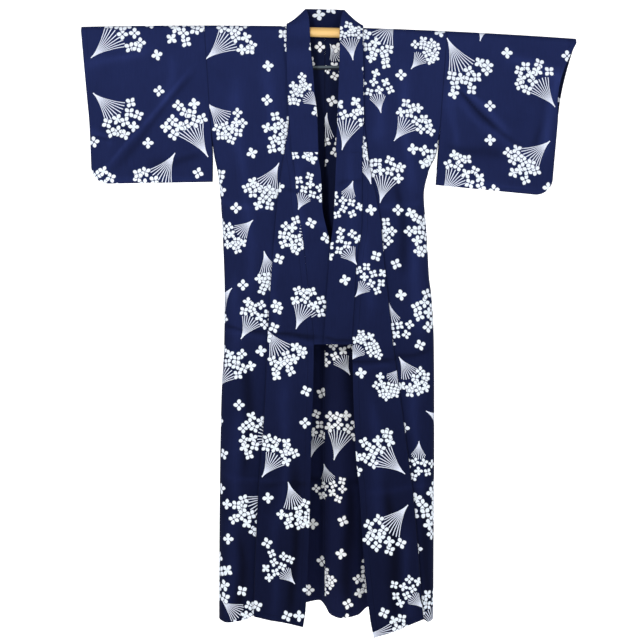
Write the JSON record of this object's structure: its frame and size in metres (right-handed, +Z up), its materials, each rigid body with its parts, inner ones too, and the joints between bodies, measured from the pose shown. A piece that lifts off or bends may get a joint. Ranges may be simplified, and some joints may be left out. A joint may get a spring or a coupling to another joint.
{
  "type": "cotton yukata robe on a bamboo rod",
  "caption": "Unlined navy cotton robe with a white flower print, wide sleeves and a long collar, hung open on a bamboo rod that runs through both sleeves.",
  "frame": {"origin": "on the rod's axis, midway along the rod, where the rod is held", "axes": "+X along the rod to the viewer's right (the wearer's left), -Y towards the viewer (the robe's front), +Z up"},
  "size_m": [1.3084, 0.1182, 1.6548],
  "materials": {
    "printed_cotton": "matt plain-weave cotton, navy with white flower sprays left undyed",
    "dark_tape": "matt woven tape",
    "bamboo": "smooth straw-yellow bamboo, satin"
  },
  "bodies": {
    "root": {"rod": "bamboo", "front_right": "printed_cotton", "front_left": "printed_cotton", "back_right": "printed_cotton", "back_left": "printed_cotton", "okumi_right": "printed_cotton", "okumi_left": "printed_cotton", "sleeve_right": "printed_cotton", "sleeve_left": "printed_cotton", "collar": "printed_cotton", "over_collar": "printed_cotton", "neck_tape": "dark_tape"}
  },
  "joints": []
}
